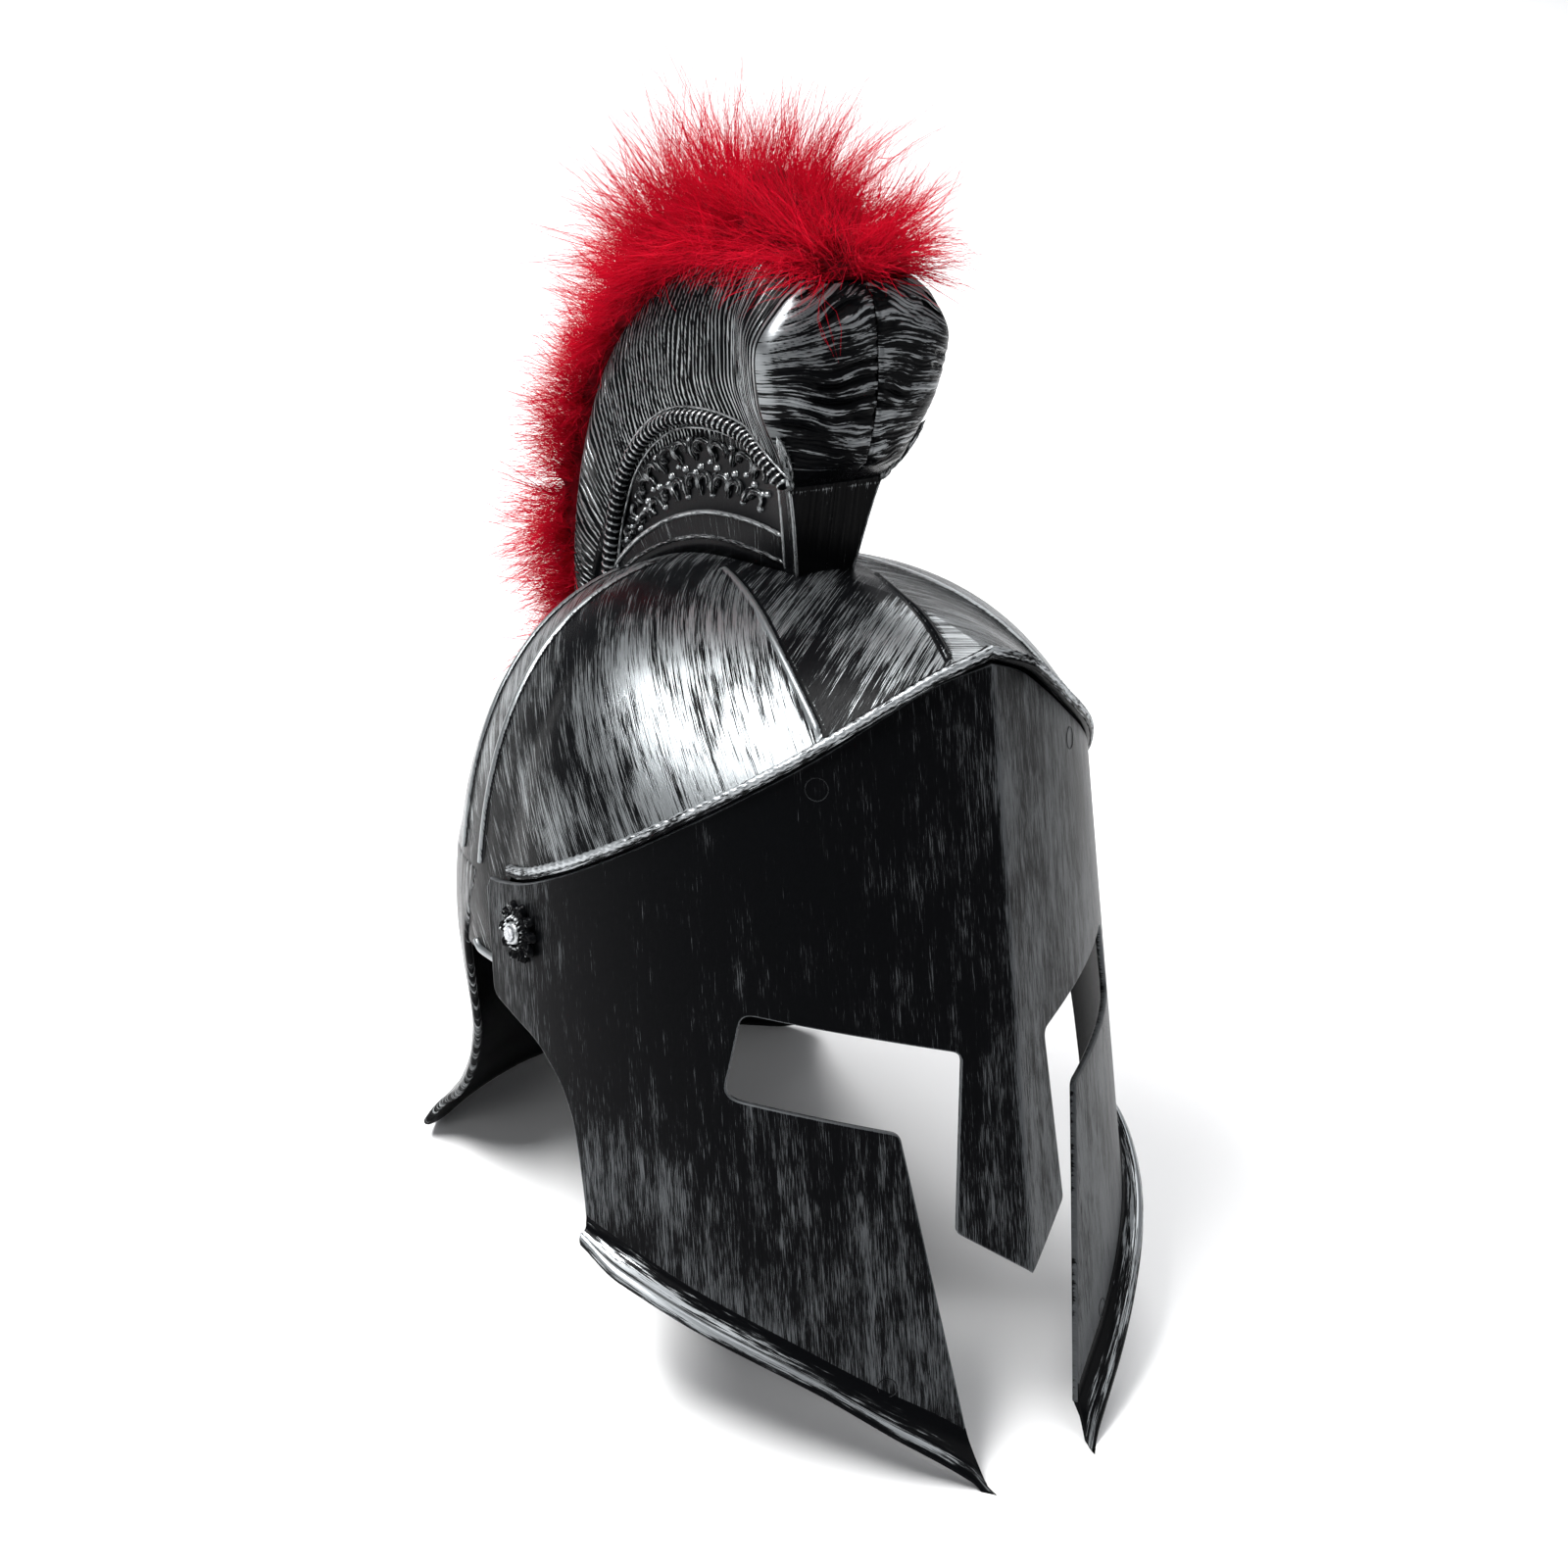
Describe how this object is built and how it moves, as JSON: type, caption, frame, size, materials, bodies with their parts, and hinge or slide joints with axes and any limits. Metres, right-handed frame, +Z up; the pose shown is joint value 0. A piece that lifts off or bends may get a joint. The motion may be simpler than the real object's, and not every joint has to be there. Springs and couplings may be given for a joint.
{
  "type": "roman legionary helmet",
  "caption": "Costume helmet: round skull with neck guard, ridged face guard with eye openings and cheek guards, arched crest with feather strip and ear rosettes.",
  "frame": {"origin": "centre of the bounding box on the surface the helmet stands on", "axes": "+Z up, -Y the way the face looks, +X to the wearer's left; the helmet stands on its cheek tips and neck guard, pitched back 13.5 degrees"},
  "size_m": [0.2118, 0.3074, 0.3382],
  "materials": {
    "skull": "black semi-gloss moulding dry-brushed with silver, brighter on the cord and ribs",
    "face_guard": "black semi-gloss moulding with vertical silver dry-brush strokes",
    "crest_shell": "black semi-gloss moulding, silver wiped over the relief",
    "plume": "crimson marabou feather strip",
    "rosette": "glossy black with worn silver edges",
    "gem": "clear faceted stone"
  },
  "bodies": {
    "root": {"skull": "skull", "neck_guard": "skull", "face_guard": "face_guard", "crest_shell_right": "crest_shell", "crest_shell_left": "crest_shell", "plume": "plume", "rosette_right": "rosette", "rosette_left": "rosette", "gem_right": "gem", "gem_left": "gem"}
  },
  "joints": []
}
